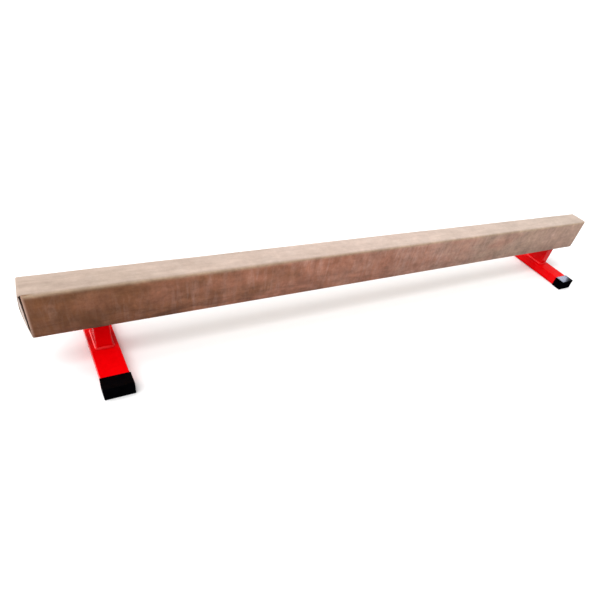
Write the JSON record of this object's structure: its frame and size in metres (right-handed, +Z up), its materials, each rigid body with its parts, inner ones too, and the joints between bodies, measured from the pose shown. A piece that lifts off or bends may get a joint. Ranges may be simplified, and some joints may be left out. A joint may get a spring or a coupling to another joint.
{
  "type": "balance beam",
  "caption": "Low floor balance beam: a long padded timber beam wrapped in beige suede, held near each end on a red welded steel leg with a wide flat foot and black rubber end caps.",
  "frame": {"origin": "on the floor, under the middle of the beam", "axes": "+X along the beam to its right end, +Y to its back, +Z up; the front is -Y"},
  "size_m": [2.7758, 0.48, 0.298],
  "materials": {
    "suede": "matte",
    "foam": "matte",
    "timber": "satin",
    "red_paint": "gloss",
    "black_rubber": "satin",
    "zinc": "satin"
  },
  "bodies": {
    "root": {"base_weld_left": "red_paint", "base_weld_right": "red_paint", "coach_screw_left_1": "zinc", "coach_screw_left_2": "zinc", "coach_screw_left_3": "zinc", "coach_screw_left_4": "zinc", "coach_screw_right_1": "zinc", "coach_screw_right_2": "zinc", "coach_screw_right_3": "zinc", "coach_screw_right_4": "zinc", "end_pad_left": "foam", "end_pad_right": "foam", "foot_cap_left_back": "black_rubber", "foot_cap_left_front": "black_rubber", "foot_cap_right_back": "black_rubber", "foot_cap_right_front": "black_rubber", "foot_tube_left": "red_paint", "foot_tube_right": "red_paint", "riser_tube_left": "red_paint", "riser_tube_right": "red_paint", "screw_tab_left_inner": "red_paint", "screw_tab_left_outer": "red_paint", "screw_tab_right_inner": "red_paint", "screw_tab_right_outer": "red_paint", "side_foam_back": "foam", "side_foam_front": "foam", "suede_cover": "suede", "tab_weld_left_inner": "red_paint", "tab_weld_left_outer": "red_paint", "tab_weld_right_inner": "red_paint", "tab_weld_right_outer": "red_paint", "timber_core": "timber", "top_foam": "foam", "washer_left_1": "zinc", "washer_left_2": "zinc", "washer_left_3": "zinc", "washer_left_4": "zinc", "washer_right_1": "zinc", "washer_right_2": "zinc", "washer_right_3": "zinc", "washer_right_4": "zinc"}
  },
  "joints": []
}
